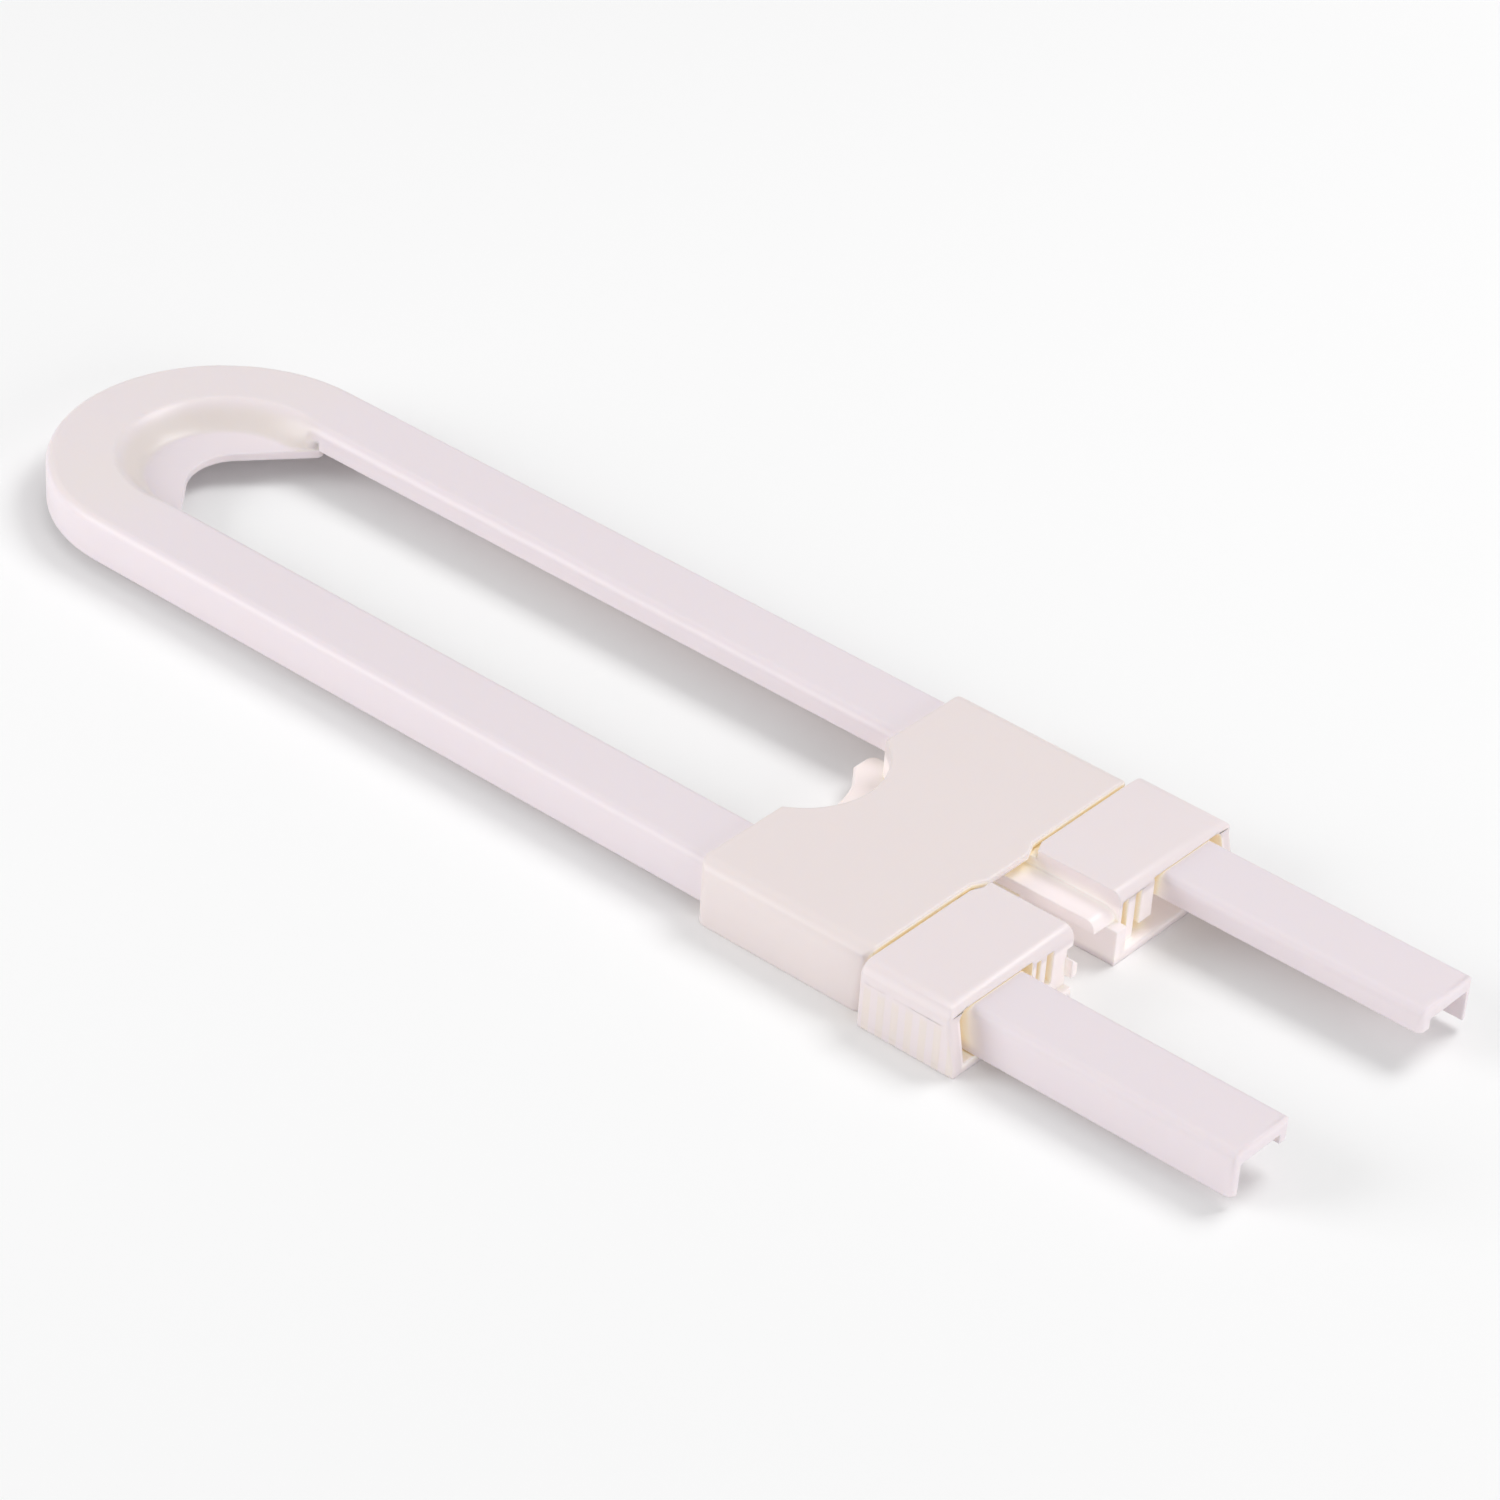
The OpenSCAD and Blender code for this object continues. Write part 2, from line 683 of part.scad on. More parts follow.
module return_spring() {
    points = [for (j = [0:spring_rings]) each wire_ring(j / rings_per_curl)];
    last = spring_rings * wire_sides;
    first_end = [for (k = [0:wire_sides - 1]) k];
    last_end = [for (k = [wire_sides - 1:-1:0]) last + k];
    faces = concat([first_end], [for (j = [0:spring_rings - 1]) each ring_faces(j)], [last_end]);
    color(steel) translate([spring_x, 0, spring_z]) polyhedron(points, faces);
}

u_rail();
slider_cover();
slider_base();
near_button();
far_button();
return_spring();
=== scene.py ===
# Looks of a sliding cabinet lock in milky white plastic, round its construction model.
# Metres; X along the arms from the bend to the open ends, Y across them, Z up.

import math

import bmesh
import bpy
from mathutils import Matrix, Vector


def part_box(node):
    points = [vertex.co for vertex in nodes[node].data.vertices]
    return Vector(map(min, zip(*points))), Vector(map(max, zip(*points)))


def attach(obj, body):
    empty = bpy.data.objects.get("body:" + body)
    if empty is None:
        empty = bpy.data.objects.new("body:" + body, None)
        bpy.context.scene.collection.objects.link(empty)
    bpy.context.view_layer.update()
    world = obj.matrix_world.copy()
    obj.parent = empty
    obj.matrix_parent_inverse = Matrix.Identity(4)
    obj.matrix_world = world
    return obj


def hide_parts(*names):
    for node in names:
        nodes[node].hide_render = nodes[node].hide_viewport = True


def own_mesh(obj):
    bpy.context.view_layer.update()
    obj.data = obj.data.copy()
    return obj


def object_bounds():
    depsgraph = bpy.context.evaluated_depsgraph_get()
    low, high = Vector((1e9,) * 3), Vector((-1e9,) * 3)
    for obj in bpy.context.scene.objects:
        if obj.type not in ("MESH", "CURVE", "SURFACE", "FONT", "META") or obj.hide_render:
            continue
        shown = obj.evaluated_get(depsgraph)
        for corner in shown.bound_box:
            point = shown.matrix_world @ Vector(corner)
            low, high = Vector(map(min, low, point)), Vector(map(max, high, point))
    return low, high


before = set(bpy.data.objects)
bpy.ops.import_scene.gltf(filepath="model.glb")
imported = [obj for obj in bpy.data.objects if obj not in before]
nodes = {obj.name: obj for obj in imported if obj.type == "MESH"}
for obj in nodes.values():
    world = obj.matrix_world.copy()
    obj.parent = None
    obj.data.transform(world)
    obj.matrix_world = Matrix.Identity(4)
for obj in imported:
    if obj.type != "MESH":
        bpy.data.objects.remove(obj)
cad_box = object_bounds()

MM = 0.001

# Joining of the triangles, and the angles past which an edge is rounded or a run of edges ends;
# the fine distance also serves as the tolerance of a point's place
MERGE_DIST = 0.1 * MM
FINE_MERGE_DIST = 0.001 * MM
FLAT_ANGLE = math.radians(0.05)
SHARP_ANGLE = math.radians(50)
RUN_ANGLE = math.radians(35)
LEAST_CORNER_ANGLE = 0.001

# Rounding of the moulded edges, widest on top at the seam between the cover and the buttons
EDGE_STEPS = 3
LARGEST_EDGE_R = 1.0 * MM
LEAST_EDGE_R = 0.01 * MM
FINE_EDGE_R = 0.1 * MM
COVER_EDGE_R = 0.2 * MM
TOP_EDGE_R = 0.35 * MM
TOP_EDGE_Z = 7.2 * MM
TOP_EDGE_X = (49 * MM, 53 * MM)

# The share of an edge's room that its rounding takes, and how fast it grows away from a short edge
EDGE_SHARE = 0.45
EDGE_TAPER = 0.1

# Soft hollow round the inside of the bend: heights, the radii there, and where each part ends
BEND_X = -79.1 * MM
HOLLOW_Z = (4.6 * MM, 7.85 * MM)
HOLLOW_R = (10.2 * MM, 14.8 * MM)
HOLLOW_NEAR_R = (11.3 * MM, 12.95 * MM)
BROW_NEAR_R = (12.8 * MM, 14.2 * MM)
BROW_Z = 6.67 * MM
HOLLOW_END_X = -76.2 * MM
SHELF_TIP = (-74.75 * MM, 12.9 * MM)
HOLLOW_CUT_X = (-78.4 * MM, -77.7 * MM, -77 * MM, -76.3 * MM)

# Ends of the buttons' outer walls: the heights and the inner side of the slope, the upright corner
# at its top and the bottom plate's corner at its foot (X, Y and radius of each)
WALL_Z = (6.8 * MM, 1.4 * MM)
WALL_IN = 25.1 * MM
WALL_CORNER = (64 * MM, 26.36 * MM, 0.8 * MM)
PLATE_CORNER = (65.4 * MM, 26.66 * MM, 0.5 * MM)

# Ribs on those walls: the wall's own side, and how much of their height is kept
WALL_OUT = 27.16 * MM
RIB_RELIEF = 0.6

# Camera, fitted to the edges of the rail and the slider
CAMERA_AZIMUTH = math.radians(38.375)
CAMERA_ELEVATION = math.radians(34.724)
CAMERA_ROLL = math.radians(4.08)
CAMERA_TARGET = Vector((7.442, 5.431, 0.955)) * MM
CAMERA_DISTANCE = 639.83 * MM
CAMERA_LENS = 124.06
CAMERA_SENSOR = 36
CAMERA_CLIP = (0.05, 10)

# Colours, as fractions of full brightness
RAIL_COLOUR = (0.83, 0.75, 0.785)
SLIDER_COLOUR = (0.83, 0.745, 0.735)
BUTTON_COLOUR = (0.84, 0.755, 0.765)
BEND_COLOUR = (0.84, 0.765, 0.745)
# Painted shade in the valley inside the bend
VALLEY_SHADE_COLOUR = (0.76, 0.69, 0.66)
# Painted light on the ribs of the buttons' walls
RIB_PAINTED_LIGHT_COLOUR = (0.835, 0.75, 0.71)
# Painted light: cream and amber for the plastic where it lies in shade, and the amber of its
# painted glow
PAINTED_LIGHT_CREAM = (0.88, 0.84, 0.79)
PAINTED_SHADE_AMBER = (0.83, 0.7, 0.45)
PAINTED_GLOW_AMBER = (0.34, 0.26, 0.13)
STEEL_COLOUR = (0.62, 0.62, 0.64)
FLOOR_COLOUR = (0.93, 0.93, 0.93)

# Softness of the edges, and the heights and widths past which shaded places get painted cream
# shade and glow
RAIL_SOFT_R = 0.35 * MM
SLIDER_SOFT_R = 0.5 * MM
BUTTON_SOFT_R = 0.35 * MM
RAIL_INNER_Z = (1.8 * MM, 3.5 * MM)
RAIL_INNER_Y = (24 * MM, 23.6 * MM)
SLIDER_INNER_Z = (0.2 * MM, 1.2 * MM)
COVER_INNER_Y = (24.9 * MM, 24.2 * MM)
BUTTON_INNER_Y = (25.7 * MM, 25.2 * MM)

# Openness to the light at which the plastic's painted shade starts and ends turning cream, and
# then amber
CREAM_OPENNESS = (0.85, 0.3)
AMBER_OPENNESS = (0.5, 0.12)

# Where the thick bend is warmer, and where painted shade darkens the valley inside it
BEND_THICK_X = (-70 * MM, -86 * MM)
BEND_THICK_Z = (7.2 * MM, 7.8 * MM)
VALLEY_NEAR_R = (10 * MM, 11.2 * MM)
VALLEY_FAR_R = (14.6 * MM, 12.4 * MM)
VALLEY_Z = (4.5 * MM, 4.7 * MM)
VALLEY_X = (-74 * MM, -77 * MM)

# Painted light: faint creamy stripes on the ribs of the buttons' walls, standing in for light on
# the ribs
RIB_X = 52.9 * MM
RIB_PITCH = 2.08 * MM
RIB_STRIPE = (0.3, 0.2)
RIB_Y = (26.9 * MM, 27.1 * MM)
RIB_Z = (7 * MM, 5.5 * MM)

# Painted glow for the light that the plastic passes on inside the slider, below LOW_Z, and in its
# crevices
LOW_Z = (7.3 * MM, 6.6 * MM)
PAINTED_LOW_GLOW = 0.52
PAINTED_CREVICE_GLOW = 0.3
CREVICE_REACH = 3.5 * MM
CREVICE_SAMPLES = 8

# Fine finish of the plastic and the wire: noises (scale, detail, roughness), gloss and scatter
CLOUD_NOISE = (55, 3, 0.5)
CLOUD_SHARE = 0.01
GRAIN_NOISE = (2400, 2, 0.6)
GRAIN_DEPTH = 0.02 * MM
GRAIN_STRENGTH = 0.06
SOFT_EDGE_SAMPLES = 6
PLASTIC_ROUGHNESS = (0.3, 0.06)
PLASTIC_IOR = 1.49
SCATTER_SHARE = 0.2
SCATTER_COLOUR = (1.0, 0.8, 0.55)
SCATTER_DEPTH = 1.0 * MM
WIRE_NOISE = (1800, 2, 0.5)
WIRE_DARKER = 0.8
WIRE_ROUGHNESS = (0.2, 0.15)

# Floor and even light; the floor glows for the camera alone, more so far from the lock
FLOOR_HALF = 3
FLOOR_GLOW = 0.02
FAR_FLOOR_GLOW = 0.5
FAR_FLOOR = (0.2, 0.9)
SKY_STRENGTH = 0.56

# Return spring
WIRE_R = 0.25 * MM
WIRE_SIDES = 12
OPEN_TURNS = 3.25
END_TURN_RISE = 0.8 * MM
STEPS_PER_TURN = 32


class Signal:
    """A value inside a material; + - * / and ** on it add Math nodes."""

    def __init__(self, finish, socket):
        self.finish = finish
        self.socket = socket

    def maths(self, operation, first, second):
        return self.finish.add("ShaderNodeMath", {"operation": operation}, {0: first, 1: second})

    def __add__(self, other):
        return self.maths("ADD", self, other)

    def __radd__(self, other):
        return self.maths("ADD", other, self)

    def __sub__(self, other):
        return self.maths("SUBTRACT", self, other)

    def __rsub__(self, other):
        return self.maths("SUBTRACT", other, self)

    def __mul__(self, other):
        return self.maths("MULTIPLY", self, other)

    def __rmul__(self, other):
        return self.maths("MULTIPLY", other, self)

    def __truediv__(self, other):
        return self.maths("DIVIDE", self, other)

    def __rtruediv__(self, other):
        return self.maths("DIVIDE", other, self)

    def __pow__(self, other):
        return self.maths("POWER", self, other)


class Finish:
    """A material under construction."""

    def __init__(self, name):
        self.material = bpy.data.materials.new(name)
        self.material.use_nodes = True
        self.tree = self.material.node_tree
        self.tree.nodes.clear()

    def add(self, kind, settings=None, inputs=None, out=0):
        """Adds a node, sets what the settings name, then fills or links its sockets."""
        node = self.tree.nodes.new(kind)
        for name, value in (settings or {}).items():
            setattr(node, name, value)
        for name, value in (inputs or {}).items():
            self.feed(node.inputs[name], value)
        return Signal(self, node.outputs[out])

    def feed(self, socket, value):
        if isinstance(value, Signal):
            self.tree.links.new(value.socket, socket)
        else:
            socket.default_value = value

    def blend(self, share, low, high):
        """One colour where the share is 0, the other where it is 1."""
        low, high = [c if isinstance(c, Signal) else (*c, 1) for c in (low, high)]
        return self.add("ShaderNodeMix", {"data_type": "RGBA"}, {0: share, 6: low, 7: high}, out=2)

    def noise(self, place, scale, detail, roughness):
        inputs = {"Vector": place, "Scale": scale, "Detail": detail, "Roughness": roughness}
        return self.add("ShaderNodeTexNoise", {}, inputs)

    def smooth_step(self, value, start, end):
        """0 up to the start and 1 past the end, with a soft change between."""
        return self.add(
            "ShaderNodeMapRange",
            {"interpolation_type": "SMOOTHSTEP"},
            {"Value": value, "From Min": start, "From Max": end, "To Min": 0, "To Max": 1},
        )

    def finish(self, surface):
        output = self.tree.nodes.new("ShaderNodeOutputMaterial")
        self.tree.links.new(surface.socket, output.inputs["Surface"])
        return self.material


def bend_tint_and_valley_shade(finish, base, clouds, along, across, height):
    """The bend's warmer top, and painted shade that darkens the valley inside it."""
    thick = finish.smooth_step(along, *BEND_THICK_X) * finish.smooth_step(height, *BEND_THICK_Z)
    base = finish.blend(thick * clouds, base, BEND_COLOUR)
    past_bend = along - BEND_X
    back = past_bend.maths("MINIMUM", past_bend, 0)
    radius = (back ** 2 + across ** 2) ** 0.5
    # Painted shade: a ring round the inside of the bend, low down, is darkened
    ring = finish.smooth_step(radius, *VALLEY_FAR_R) * finish.smooth_step(radius, *VALLEY_NEAR_R)
    low_end = finish.smooth_step(height, *VALLEY_Z) * finish.smooth_step(along, *VALLEY_X)
    return finish.blend(ring * low_end, base, VALLEY_SHADE_COLOUR)


def rib_painted_light(finish, base, along, across, height):
    """Painted light: faint creamy stripes along the ribs of a button's wall."""
    steps = (along - RIB_X) / RIB_PITCH
    off_rib = steps.maths("PINGPONG", steps, 0.5)
    stripe = finish.smooth_step(off_rib, *RIB_STRIPE) * finish.smooth_step(across, *RIB_Y)
    return finish.blend(stripe * finish.smooth_step(height, *RIB_Z), base, RIB_PAINTED_LIGHT_COLOUR)


def milky_plastic(name, colour, soft_edge_r, inner_z, inner_y, painted_low_glow=0, bend=False, ribs=False):
    """Moulded plastic, slightly see-through, with a fine satin grain; painted shade and glow make
    it cream and amber in its crevices.
    """
    finish = Finish(name)
    place = finish.add("ShaderNodeTexCoord", out=3)
    clouds = finish.noise(place, *CLOUD_NOISE)
    grain = finish.noise(place, *GRAIN_NOISE)
    openness = finish.add(
        "ShaderNodeAmbientOcclusion",
        {"samples": CREVICE_SAMPLES},
        {"Distance": CREVICE_REACH},
        out=1,
    )
    along, across, height = [
        finish.add("ShaderNodeSeparateXYZ", {}, {"Vector": place}, out=axis) for axis in range(3)
    ]
    across = finish.add("ShaderNodeMath", {"operation": "ABSOLUTE"}, {0: across})
    inner = finish.smooth_step(height, *inner_z) * finish.smooth_step(across, *inner_y)
    # Painted shade and glow: where occlusion finds a crevice, the plastic is painted cream, then
    # amber
    shaded = finish.smooth_step(openness, *CREAM_OPENNESS) * inner
    deep_shade = finish.smooth_step(openness, *AMBER_OPENNESS)
    light = tuple(min(1, c * (1 + CLOUD_SHARE)) for c in colour)
    dark = tuple(c * (1 - CLOUD_SHARE) for c in colour)
    base = finish.blend(clouds, dark, light)
    if bend:
        base = bend_tint_and_valley_shade(finish, base, clouds, along, across, height)
    if ribs:
        base = rib_painted_light(finish, base, along, across, height)
    warm = finish.blend(deep_shade, PAINTED_LIGHT_CREAM, PAINTED_SHADE_AMBER)
    base = finish.blend(shaded, base, warm)
    # Painted glow in the crevices and, for the slider and buttons, low inside them
    painted_glow_share = shaded.maths("MAXIMUM", shaded, painted_low_glow * inner * finish.smooth_step(height, *LOW_Z))
    glow = finish.blend(painted_glow_share, (0, 0, 0), finish.blend(deep_shade, PAINTED_LIGHT_CREAM, PAINTED_GLOW_AMBER))
    soft_edges = finish.add(
        "ShaderNodeBevel", {"samples": SOFT_EDGE_SAMPLES}, {"Radius": soft_edge_r}
    )
    bump = finish.add(
        "ShaderNodeBump",
        {},
        {
            "Strength": GRAIN_STRENGTH,
            "Distance": GRAIN_DEPTH,
            "Height": grain,
            "Normal": soft_edges,
        },
    )
    least_rough, more_rough = PLASTIC_ROUGHNESS
    surface = finish.add(
        "ShaderNodeBsdfPrincipled",
        {"subsurface_method": "RANDOM_WALK"},
        {
            "Base Color": base,
            "Roughness": least_rough + more_rough * grain,
            "Normal": bump,
            "IOR": PLASTIC_IOR,
            "Subsurface Weight": SCATTER_SHARE,
            "Subsurface Radius": SCATTER_COLOUR,
            "Subsurface Scale": SCATTER_DEPTH,
            "Emission Color": glow,
            "Emission Strength": PAINTED_CREVICE_GLOW,
        },
    )
    return finish.finish(surface)


def spring_steel():
    """Drawn spring wire, with faint marks along it."""
    finish = Finish("spring_steel")
    place = finish.add("ShaderNodeTexCoord", out=3)
    marks = finish.noise(place, *WIRE_NOISE)
    dark = tuple(c * WIRE_DARKER for c in STEEL_COLOUR)
    least_rough, more_rough = WIRE_ROUGHNESS
    surface = finish.add(
        "ShaderNodeBsdfPrincipled",
        {},
        {
            "Base Color": finish.blend(marks, dark, STEEL_COLOUR),
            "Metallic": 1,
            "Roughness": least_rough + more_rough * marks,
        },
    )
    return finish.finish(surface)


def edge_room(edge, sharp):
    """The widest rounding of a sharp edge before the ends of its new edges cross."""
    room = LARGEST_EDGE_R
    for loop in edge.link_loops:
        lost = 0
        for corner, other in (
            (loop, loop.link_loop_prev.edge),
            (loop.link_loop_next, loop.link_loop_next.edge),
        ):
            angle = max(corner.calc_angle(), LEAST_CORNER_ANGLE)
            if other in sharp:
                angle = angle / 2
            else:
                room = min(room, other.calc_length() * math.sin(angle))
            lost += (1 if corner.is_convex else -1) / math.tan(angle)
        if lost > 0:
            room = min(room, edge.calc_length() / lost)
    return room


def edge_runs(sharp):
    """Sharp edges in runs that go on without a corner."""
    left = set(sharp)
    while left:
        run = [left.pop()]
        for edge in run:
            for vert in edge.verts:
                back = (vert.co - edge.other_vert(vert).co).normalized()
                for other in vert.link_edges:
                    onward = (other.other_vert(vert).co - vert.co).normalized()
                    if other in left and back.dot(onward) > math.cos(RUN_ANGLE):
                        left.remove(other)
                        run.append(other)
        yield run


def tapered_radius(edge, run, room, radius):
    """The radius at one edge, less wherever a short edge of its run comes near."""
    for other in run:
        between = (middle(edge) - middle(other)).length
        gap = max(0, between - (edge.calc_length() + other.calc_length()) / 2)
        radius = min(radius, EDGE_SHARE * room[other] + EDGE_TAPER * gap)
    return radius if radius > LEAST_EDGE_R else 0


def middle(edge):
    """The point halfway along an edge."""
    return (edge.verts[0].co + edge.verts[1].co) / 2


def cut_across(form, faces, axis, place):
    """New edges over some faces, in a plane across an axis."""
    point = Vector((0, 0, 0))
    point[axis] = place
    normal = Vector((0, 0, 0))
    normal[axis] = 1
    verts = {vert for face in faces for vert in face.verts}
    edges = {edge for face in faces for edge in face.edges}
    parts = list(verts) + list(edges) + list(faces)
    bmesh.ops.bisect_plane(form, geom=parts, plane_co=point, plane_no=normal)


def share_between(value, start, end):
    """0 at the start and 1 at the end, with a straight rise between."""
    return max(0, min(1, (value - start) / (end - start)))


def bend_radius(place):
    """Distance from the line round which the inside of the bend runs."""
    return math.hypot(min(0, place.x - BEND_X), place.y)


def near_hollow(place):
    """Whether a point lies on the edge or in the hollow inside the bend."""
    least, most = BROW_NEAR_R if place.z > BROW_Z else HOLLOW_NEAR_R
    in_ring = least < bend_radius(place) < most
    return in_ring and place.z > HOLLOW_Z[0] - FINE_MERGE_DIST and place.x < SHELF_TIP[0]


def soften_bend(form):
    """Turns the hollow inside the bend and the edge above it into one soft curve.

    The curve falls like an S from the edge to the shelf, and fades out along the arms, where the
    shelf ends in a point.
    """
    for place in HOLLOW_CUT_X:
        near = [f for f in form.faces if any(near_hollow(v.co) for v in f.verts)]
        cut_across(form, near, 0, place)
    for vert in form.verts:
        if not near_hollow(vert.co):
            continue
        if vert.co.z < BROW_Z and vert.co.x > HOLLOW_END_X:
            vert.co.x = max(vert.co.x, SHELF_TIP[0])
            vert.co.y = math.copysign(SHELF_TIP[1], vert.co.y)
            continue
        height = share_between(vert.co.z, *HOLLOW_Z)
        # The inverse of a smooth step: how far out the S has reached this height
        outward = 0.5 - math.sin(math.asin(1 - 2 * height) / 3)
        target = HOLLOW_R[0] + (HOLLOW_R[1] - HOLLOW_R[0]) * outward
        flat = bend_radius(vert.co) if vert.co.z > BROW_Z else SHELF_TIP[1]
        target += (flat - target) * share_between(vert.co.x, BEND_X, SHELF_TIP[0])
        scale = target / bend_radius(vert.co)
        vert.co.x += min(0, vert.co.x - BEND_X) * (scale - 1)
        vert.co.y *= scale
    bmesh.ops.remove_doubles(form, verts=form.verts, dist=FINE_MERGE_DIST)


def at_wall_end(place):
    """Whether a point lies at the end of a button's outer wall, past its inner side."""
    return place.x > WALL_CORNER[0] + FINE_MERGE_DIST and abs(place.y) > WALL_IN + FINE_MERGE_DIST


def slope_wall(form):
    """Leans the end of a button's outer wall out to the corner of its bottom plate."""
    wall_x, wall_y, wall_r = WALL_CORNER
    plate_x, plate_y, plate_r = PLATE_CORNER
    plate = [f for f in form.faces if f.calc_center_median().z < WALL_Z[1] + FINE_MERGE_DIST]
    side = math.copysign(1, plate[0].calc_center_median().y)
    cut_across(form, plate, 1, side * WALL_IN)
    ends = [f for f in form.faces if any(at_wall_end(v.co) for v in f.verts)]
    cut_across(form, ends, 2, WALL_Z[0])
    for vert in form.verts:
        out = abs(vert.co.y)
        in_wall = out > WALL_IN - FINE_MERGE_DIST and vert.co.z > WALL_Z[1] - FINE_MERGE_DIST
        past_corner = wall_x - FINE_MERGE_DIST < vert.co.x < wall_x + wall_r + FINE_MERGE_DIST
        if not (in_wall and past_corner):
            continue
        share = share_between(vert.co.z, *WALL_Z)
        new_x = plate_x + (vert.co.x - wall_x) * plate_r / wall_r
        if out > wall_y:
            new_y = plate_y + (out - wall_y) * plate_r / wall_r
        else:
            new_y = WALL_IN + (out - WALL_IN) * (plate_y - WALL_IN) / (wall_y - WALL_IN)
        vert.co.x += (new_x - vert.co.x) * share
        vert.co.y += side * (new_y - out) * share
    bmesh.ops.remove_doubles(form, verts=form.verts, dist=FINE_MERGE_DIST)


def lower_ribs(form):
    """Takes part of the height off the ribs on a button's outer wall."""
    for vert in form.verts:
        out = abs(vert.co.y) - WALL_OUT
        if out > 0:
            vert.co.y = math.copysign(WALL_OUT + RIB_RELIEF * out, vert.co.y)


def join_flat(form, distance):
    """Merges points this near to each other, and then the faces that lie in one plane."""
    bmesh.ops.remove_doubles(form, verts=form.verts, dist=distance)
    bmesh.ops.dissolve_limit(form, angle_limit=FLAT_ANGLE, verts=form.verts, edges=form.edges)


def weigh_edges(form, radius, top_radius):
    """Gives each sharp edge the radius that its rounding can have, as its bevel weight."""
    weight = form.edges.layers.float.new("bevel_weight_edge")
    sharp = [e for e in form.edges if len(e.link_faces) == 2 and e.calc_face_angle() > SHARP_ANGLE]
    sharp_set = set(sharp)
    room = {edge: edge_room(edge, sharp_set) for edge in sharp}
    for run in edge_runs(sharp):
        for edge in run:
            place = middle(edge)
            at_seam = place.z > TOP_EDGE_Z and TOP_EDGE_X[0] < place.x < TOP_EDGE_X[1]
            largest = top_radius if at_seam else radius
            edge[weight] = tapered_radius(edge, run, room, largest) / LARGEST_EDGE_R


def moulding(node, name, material, radius, top_radius):
    """A node's form with its triangles joined and its sharp edges rounded."""
    mesh = nodes[node].data.copy()
    mesh.name = name
    form = bmesh.new()
    form.from_mesh(mesh)
    join_flat(form, FINE_MERGE_DIST)
    if node == "u_rail":
        soften_bend(form)
    if node in ("near_button", "far_button"):
        lower_ribs(form)
        slope_wall(form)
    join_flat(form, MERGE_DIST)
    weigh_edges(form, radius, top_radius)
    for face in form.faces:
        face.smooth = True
    form.to_mesh(mesh)
    form.free()
    mesh.materials.clear()
    mesh.materials.append(material)
    piece = bpy.data.objects.new(name, mesh)
    bpy.context.scene.collection.objects.link(piece)
    rounding = piece.modifiers.new("rounding", "BEVEL")
    rounding.limit_method = "WEIGHT"
    rounding.width = LARGEST_EDGE_R
    rounding.segments = EDGE_STEPS
    rounding.use_clamp_overlap = False
    shading = piece.modifiers.new("shading", "WEIGHTED_NORMAL")
    shading.keep_sharp = False
    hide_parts(node)
    return piece


def spring_half(name, side, material):
    """Half of the return spring, from the middle of the lock to one button's foot."""
    low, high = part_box("return_spring")
    centre = (low + high) / 2
    turn_r = (high.x - low.x) / 2 - WIRE_R
    end_y = high.y - WIRE_R
    form = bmesh.new()
    bmesh.ops.create_circle(form, segments=WIRE_SIDES, radius=WIRE_R, cap_ends=True)
    bmesh.ops.translate(form, verts=form.verts, vec=(turn_r, 0, 0))
    section = list(form.faces)
    turns = [(OPEN_TURNS, end_y - END_TURN_RISE), (1, END_TURN_RISE)]
    for count, rise in turns:
        steps = round(count * STEPS_PER_TURN)
        made = bmesh.ops.spin(
            form,
            geom=section,
            axis=(0, 1, 0),
            cent=(0, 0, 0),
            dvec=(0, side * rise / steps, 0),
            angle=-2 * math.pi * count * side,
            steps=steps,
            use_duplicate=False,
        )
        section = [g for g in made["geom_last"] if isinstance(g, bmesh.types.BMFace)]
    bmesh.ops.remove_doubles(form, verts=form.verts, dist=FINE_MERGE_DIST)
    bmesh.ops.recalc_face_normals(form, faces=form.faces)
    bmesh.ops.translate(form, verts=form.verts, vec=(centre.x, 0, centre.z))
    for face in form.faces:
        face.smooth = True
    mesh = bpy.data.meshes.new(name)
    form.to_mesh(mesh)
    form.free()
    mesh.materials.append(material)
    half = bpy.data.objects.new(name, mesh)
    bpy.context.scene.collection.objects.link(half)
    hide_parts("return_spring")
    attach(half, "slider")
    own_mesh(half)


def floor():
    """Plain pale floor that keeps the shadow and looks white to the camera."""
    finish = Finish("floor")
    seen = finish.add("ShaderNodeLightPath", out=0)
    place = finish.add("ShaderNodeTexCoord", out=3)
    away = finish.add("ShaderNodeVectorMath", {"operation": "LENGTH"}, {"Vector": place}, out=1)
    strength = (FLOOR_GLOW + FAR_FLOOR_GLOW * finish.smooth_step(away, *FAR_FLOOR)) * seen
    paint = finish.add("ShaderNodeBsdfDiffuse", {}, {"Color": (*FLOOR_COLOUR, 1)})
    glow = finish.add("ShaderNodeEmission", {}, {"Color": (1, 1, 1, 1), "Strength": strength})
    both = finish.add("ShaderNodeAddShader", {}, {0: paint, 1: glow})
    mesh = bpy.data.meshes.new("floor")
    form = bmesh.new()
    bmesh.ops.create_grid(form, x_segments=1, y_segments=1, size=FLOOR_HALF)
    form.to_mesh(mesh)
    form.free()
    mesh.transform(Matrix.Translation((0, 0, cad_box[0].z)))
    mesh.materials.append(finish.finish(both))
    plane = bpy.data.objects.new("floor", mesh)
    bpy.context.scene.collection.objects.link(plane)


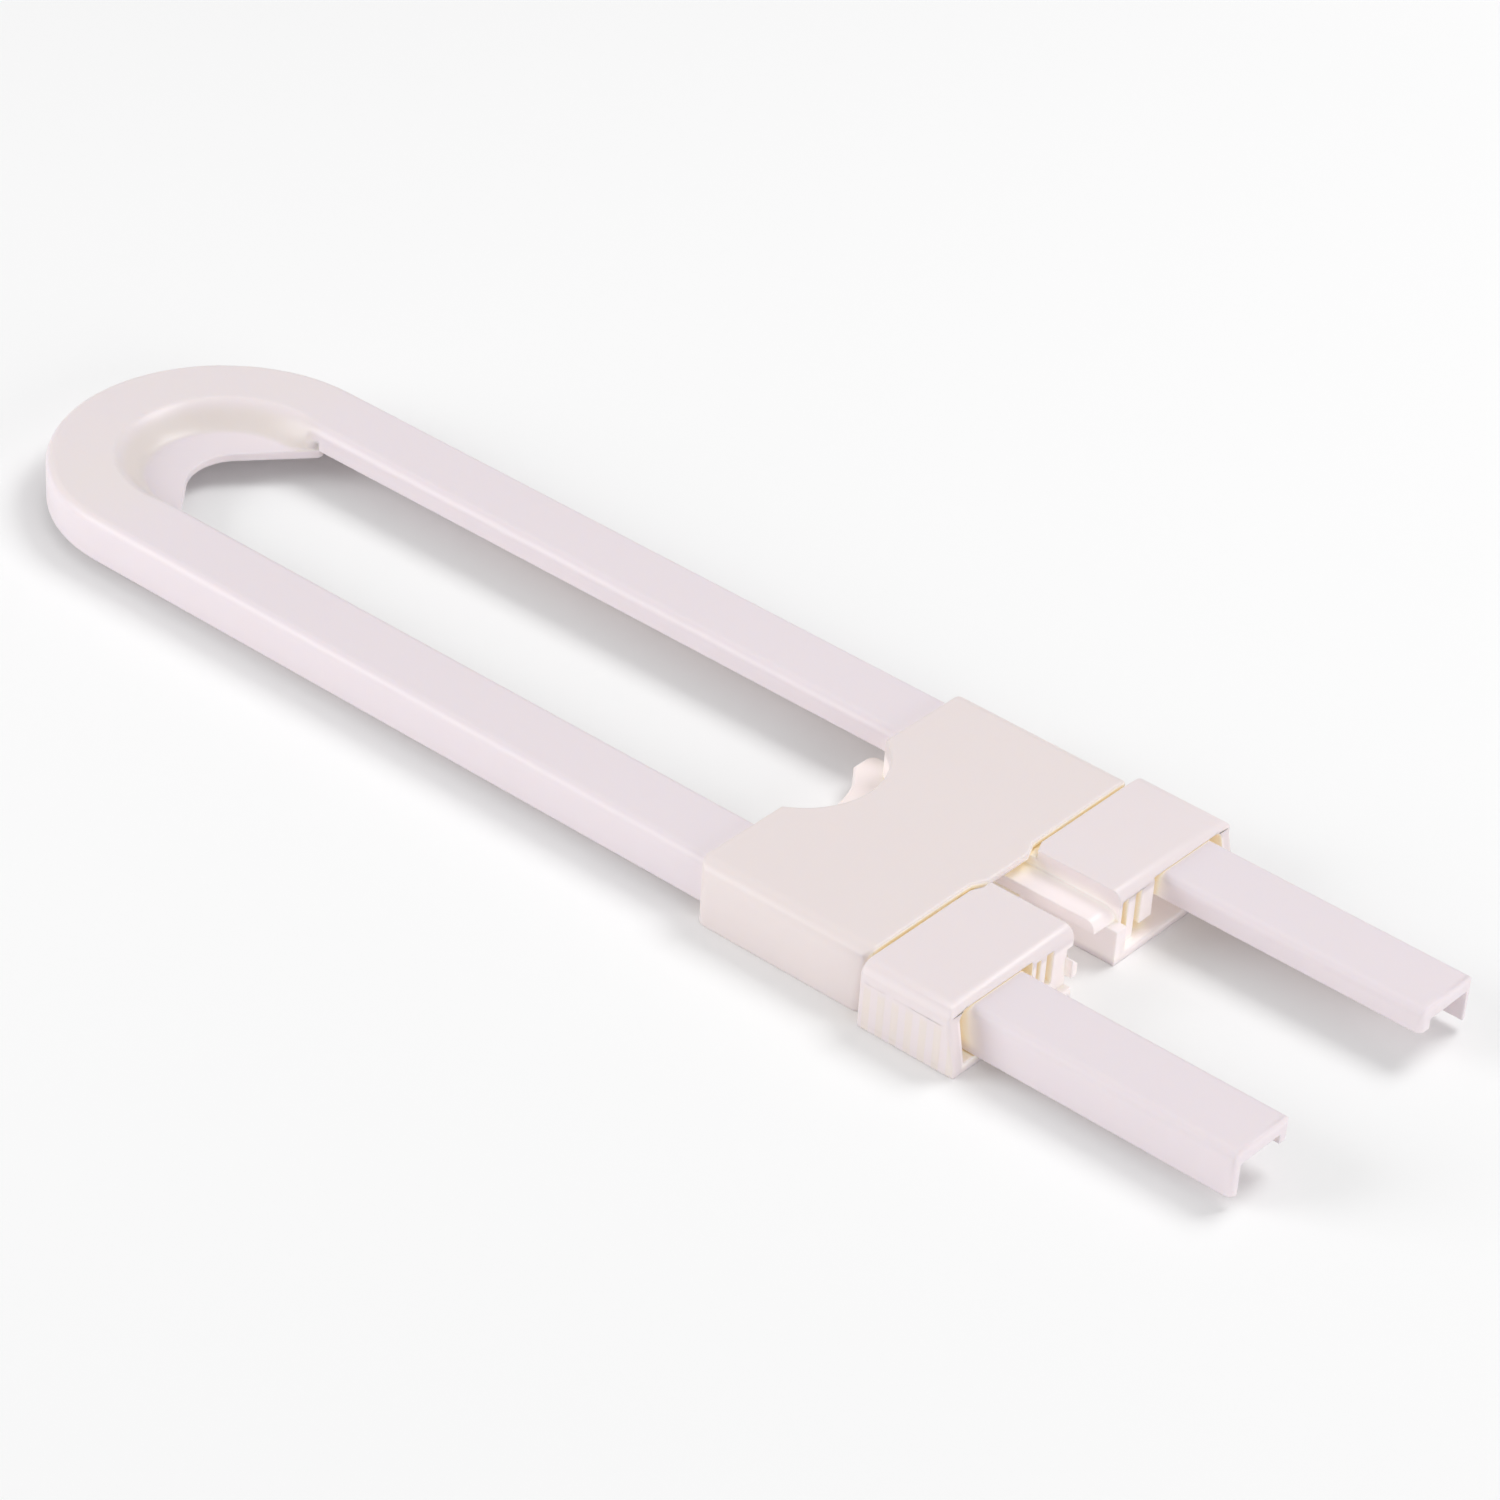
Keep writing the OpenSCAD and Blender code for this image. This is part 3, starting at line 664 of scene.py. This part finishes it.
def area_lamp(name, azimuth, elevation, distance, size, power):
    """A square soft light that faces the lock."""
    data = bpy.data.lights.new(name, "AREA")
    data.shape = "SQUARE"
    data.size = size
    data.energy = power
    lamp = bpy.data.objects.new(name, data)
    back = direction(math.radians(azimuth), math.radians(elevation))
    lamp.location = back * distance
    lamp.rotation_mode = "QUATERNION"
    lamp.rotation_quaternion = (-back).to_track_quat("-Z", "Y")
    bpy.context.scene.collection.objects.link(lamp)


def direction(azimuth, elevation):
    """From the lock towards a viewer; azimuth 0 looks along +Y."""
    return Vector(
        (
            math.sin(azimuth) * math.cos(elevation),
            -math.cos(azimuth) * math.cos(elevation),
            math.sin(elevation),
        )
    )


def sky(strength):
    """Even white light, white behind everything too."""
    world = bpy.data.worlds.new("studio")
    bpy.context.scene.world = world
    world.use_nodes = True
    tree = world.node_tree
    tree.nodes.clear()
    path = tree.nodes.new("ShaderNodeLightPath")
    background = tree.nodes.new("ShaderNodeBackground")
    level = tree.nodes.new("ShaderNodeMapRange")
    output = tree.nodes.new("ShaderNodeOutputWorld")
    level.inputs["To Min"].default_value = strength
    level.inputs["To Max"].default_value = 1
    tree.links.new(path.outputs["Is Camera Ray"], level.inputs["Value"])
    tree.links.new(level.outputs["Result"], background.inputs["Strength"])
    tree.links.new(background.outputs["Background"], output.inputs["Surface"])


def camera():
    """The photograph's viewpoint, with its slight roll."""
    data = bpy.data.cameras.new("camera")
    data.lens = CAMERA_LENS
    data.sensor_width = CAMERA_SENSOR
    data.clip_start, data.clip_end = CAMERA_CLIP
    viewer = bpy.data.objects.new("camera", data)
    back = direction(CAMERA_AZIMUTH, CAMERA_ELEVATION)
    level = Vector((math.cos(CAMERA_AZIMUTH), math.sin(CAMERA_AZIMUTH), 0))
    upright = back.cross(level)
    right = level * math.cos(CAMERA_ROLL) + upright * math.sin(CAMERA_ROLL)
    up = upright * math.cos(CAMERA_ROLL) - level * math.sin(CAMERA_ROLL)
    turn = Matrix((right, up, back)).transposed().to_4x4()
    viewer.matrix_world = Matrix.Translation(CAMERA_TARGET + back * CAMERA_DISTANCE) @ turn
    bpy.context.scene.collection.objects.link(viewer)
    bpy.context.scene.camera = viewer


camera()

rail_finish = milky_plastic(
    "rail_plastic", RAIL_COLOUR, RAIL_SOFT_R, RAIL_INNER_Z, RAIL_INNER_Y, bend=True
)
slider_finish = milky_plastic(
    "slider_plastic", SLIDER_COLOUR, SLIDER_SOFT_R, SLIDER_INNER_Z, COVER_INNER_Y, PAINTED_LOW_GLOW
)
button_finish = milky_plastic(
    "button_plastic", BUTTON_COLOUR, BUTTON_SOFT_R, SLIDER_INNER_Z, BUTTON_INNER_Y, PAINTED_LOW_GLOW,
    ribs=True,
)
steel_finish = spring_steel()

PIECES = [
    (
        "u_rail", "rail_moulding", FINE_EDGE_R, FINE_EDGE_R,
        rail_finish, "rail_plastic", "rail",
    ),
    (
        "slider_cover", "cover_moulding", COVER_EDGE_R, TOP_EDGE_R,
        slider_finish, "slider_plastic", "slider",
    ),
    (
        "slider_base", "base_moulding", COVER_EDGE_R, COVER_EDGE_R,
        slider_finish, "slider_plastic", "slider",
    ),
    (
        "near_button", "near_button_moulding", FINE_EDGE_R, TOP_EDGE_R,
        button_finish, "button_plastic", "near_squeeze_button",
    ),
    (
        "far_button", "far_button_moulding", FINE_EDGE_R, TOP_EDGE_R,
        button_finish, "button_plastic", "far_squeeze_button",
    ),
]
for node, name, radius, top_radius, material, slot, body in PIECES:
    piece = moulding(node, name, material, radius, top_radius)
    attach(piece, body)

spring_half("near_spring_half", -1, steel_finish)
spring_half("far_spring_half", 1, steel_finish)

floor()
sky(SKY_STRENGTH)
area_lamp("key", azimuth=160, elevation=57, distance=0.9, size=0.4, power=3.3)
area_lamp("fill", azimuth=-43, elevation=22, distance=0.8, size=0.5, power=3.1)
area_lamp("end_fill", azimuth=80, elevation=12, distance=0.9, size=0.6, power=3.1)

scene = bpy.context.scene
scene.view_settings.view_transform = "Standard"
